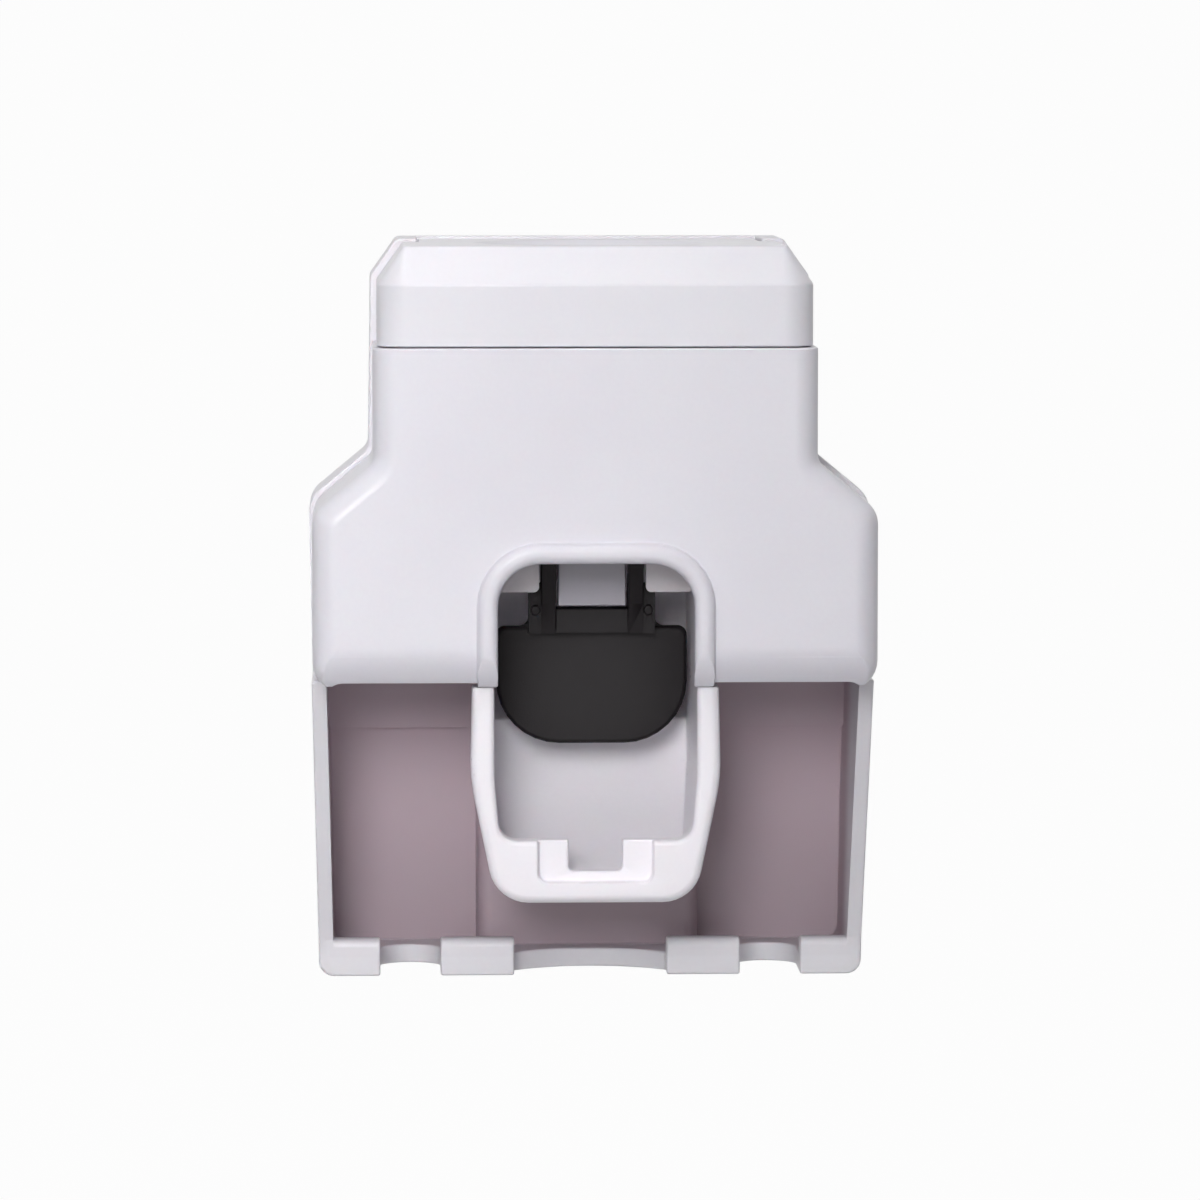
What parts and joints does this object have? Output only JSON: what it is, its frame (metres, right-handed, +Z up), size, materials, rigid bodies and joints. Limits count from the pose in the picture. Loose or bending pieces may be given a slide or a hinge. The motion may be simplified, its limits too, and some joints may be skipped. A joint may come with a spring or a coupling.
{
  "type": "toothpaste dispenser",
  "caption": "Wall-mounted toothpaste dispenser: a collar holds the tube head down over a piston pump, worked by a push lever in an arched opening, above a brush cup and slotted brush racks.",
  "frame": {"origin": "middle of the wall-side face of the adhesive pad", "axes": "+X to the right seen from the front, +Y into the wall, +Z up"},
  "size_m": [0.094, 0.054, 0.1235],
  "materials": {
    "cover_white": "satin-gloss moulded ABS, white",
    "case_white": "satin-gloss moulded ABS, white",
    "cup_white": "gloss moulded ABS, white",
    "collar_white": "gloss moulded ABS, white",
    "inner_white": "matt moulded ABS, off-white",
    "spout_white": "semi-gloss moulded polypropylene, grey-white",
    "lever_black": "fine matt moulded ABS, black",
    "silicone": "soft translucent silicone",
    "steel": "zinc-plated steel",
    "spring_steel": "drawn spring steel",
    "adhesive": "soft acrylic foam pad"
  },
  "bodies": {
    "wall_plate": {"adhesive_pad": "adhesive", "hook_plate": "inner_white"},
    "housing": {"rear_case": "case_white", "front_cover": "cover_white", "brush_cup": "cup_white", "housing_screws": "steel", "cup_screws": "steel"},
    "cartridge": {"top_collar": "collar_white", "collar_screws": "steel", "pump_carrier": "inner_white", "pump_barrel": "inner_white", "barrel_end_cap": "inner_white", "inlet_valve": "silicone", "tube_gasket": "silicone", "gasket_ring": "inner_white", "pivot_pin": "steel", "pin_clips": "spring_steel", "return_spring": "spring_steel"},
    "lever": {"push_lever": "lever_black"},
    "piston": {"spout_piston": "spout_white", "piston_seal": "silicone", "outlet_valve": "silicone"}
  },
  "joints": [
    {"name": "hang_lift", "type": "slide", "parent": "wall_plate", "child": "housing", "axis": [0, 0, 1], "range_m": [0, 0.006]},
    {"name": "cartridge_lift", "type": "slide", "parent": "housing", "child": "cartridge", "axis": [0, 0, 1], "range_m": [0, 0.075]},
    {"name": "lever_swing", "type": "hinge", "parent": "cartridge", "child": "lever", "pos_m": [0, -0.0384, 0.0076], "axis": [1, 0, 0], "range_deg": [0, 22], "stiffness_Nm_per_rad": 0.03, "springref_deg": -20.05},
    {"name": "piston_slide", "type": "slide", "parent": "cartridge", "child": "piston", "axis": [0, 0, 1], "range_m": [0, 0.0049], "deforming": ["return_spring"]}
  ],
  "couplings": [
    {"joint": "piston_slide", "follows": "lever_swing", "m_per_rad": 0.01256}
  ]
}
